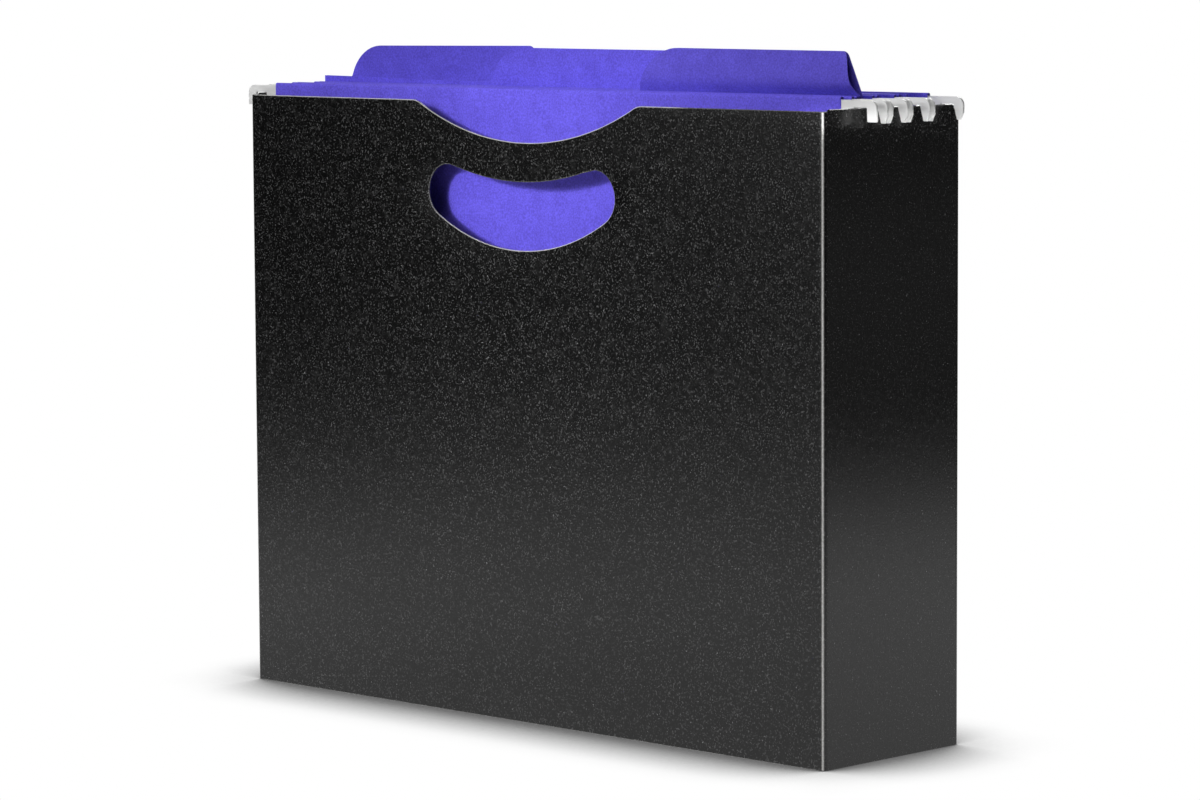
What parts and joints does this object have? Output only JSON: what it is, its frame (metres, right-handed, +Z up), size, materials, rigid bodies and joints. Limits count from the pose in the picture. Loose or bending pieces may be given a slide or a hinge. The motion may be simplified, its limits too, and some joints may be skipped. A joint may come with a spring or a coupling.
{
  "type": "portable file box",
  "caption": "Open upright steel box with hand slots and scooped rims, whose end rails carry hanging folders with tabbed files.",
  "frame": {"origin": "middle of the underside, on the surface that the box stands on", "axes": "+X along the width towards the right end wall, +Y from the front panel to the back panel, +Z up"},
  "size_m": [0.3314, 0.078, 0.2654],
  "materials": {
    "box_coat": "fine textured matt black powder coat",
    "folder_card": "uncoated card dyed blue violet",
    "file_card": "uncoated card dyed blue violet",
    "rod_steel": "bright rolled strip",
    "hook_plastic": "satin white moulding"
  },
  "bodies": {
    "box": {"front_panel": "box_coat", "back_panel": "box_coat", "left_wall": "box_coat", "right_wall": "box_coat", "base_pan": "box_coat"},
    "folder_1": {"folder_1_rear_leaf": "folder_card", "folder_1_crease": "folder_card", "folder_1_rear_rod": "rod_steel", "folder_1_rear_hooks": "hook_plastic"},
    "folder_1_flap": {"folder_1_front_leaf": "folder_card", "folder_1_front_rod": "rod_steel", "folder_1_front_hooks": "hook_plastic"},
    "folder_2": {"folder_2_front_leaf": "folder_card", "folder_2_crease": "folder_card", "folder_2_front_rod": "rod_steel", "folder_2_front_hooks": "hook_plastic"},
    "folder_2_flap": {"folder_2_rear_leaf": "folder_card", "folder_2_rear_rod": "rod_steel", "folder_2_rear_hooks": "hook_plastic"},
    "folder_3": {"folder_3_front_leaf": "folder_card", "folder_3_crease": "folder_card", "folder_3_front_rod": "rod_steel", "folder_3_front_hooks": "hook_plastic"},
    "folder_3_flap": {"folder_3_rear_leaf": "folder_card", "folder_3_rear_rod": "rod_steel", "folder_3_rear_hooks": "hook_plastic"},
    "folder_4": {"folder_4_front_leaf": "folder_card", "folder_4_crease": "folder_card", "folder_4_front_rod": "rod_steel", "folder_4_front_hooks": "hook_plastic"},
    "folder_4_flap": {"folder_4_rear_leaf": "folder_card", "folder_4_rear_rod": "rod_steel", "folder_4_rear_hooks": "hook_plastic"},
    "file_right": {"file_right": "file_card"},
    "file_centre": {"file_centre": "file_card"},
    "file_left": {"file_left": "file_card"}
  },
  "joints": [
    {"name": "folder_1_lift", "type": "slide", "parent": "box", "child": "folder_1", "axis": [0, 0, 1], "range_m": [0, 0.25]},
    {"name": "folder_1_mouth", "type": "hinge", "parent": "folder_1", "child": "folder_1_flap", "pos_m": [-0.00005, -0.0241, 0.0213], "axis": [0.9991, 0.0422, 0], "range_deg": [-0.9, 1.2]},
    {"name": "folder_2_lift", "type": "slide", "parent": "box", "child": "folder_2", "axis": [0, 0, 1], "range_m": [0, 0.25]},
    {"name": "folder_2_mouth", "type": "hinge", "parent": "folder_2", "child": "folder_2_flap", "pos_m": [0.00006, -0.00808, 0.0213], "axis": [-0.9996, -0.0299, 0], "range_deg": [-1.1, 0.1]},
    {"name": "folder_3_lift", "type": "slide", "parent": "box", "child": "folder_3", "axis": [0, 0, 1], "range_m": [0, 0.25]},
    {"name": "folder_3_mouth", "type": "hinge", "parent": "folder_3", "child": "folder_3_flap", "pos_m": [0.00007, 0.00376, 0.0213], "axis": [-0.9994, -0.0357, 0], "range_deg": [-1.15, 0.1]},
    {"name": "folder_4_lift", "type": "slide", "parent": "box", "child": "folder_4", "axis": [0, 0, 1], "range_m": [0, 0.25]},
    {"name": "folder_4_mouth", "type": "hinge", "parent": "folder_4", "child": "folder_4_flap", "pos_m": [0.00022, 0.0189, 0.0213], "axis": [-0.9992, -0.0408, 0], "range_deg": [-2.5, 1]},
    {"name": "file_right_lift", "type": "slide", "parent": "folder_2", "child": "file_right", "axis": [0, 0, 1], "range_m": [0, 0.25]},
    {"name": "file_centre_lift", "type": "slide", "parent": "folder_3", "child": "file_centre", "axis": [0, 0, 1], "range_m": [0, 0.25]},
    {"name": "file_left_lift", "type": "slide", "parent": "folder_4", "child": "file_left", "axis": [0, 0, 1], "range_m": [0, 0.25]}
  ]
}
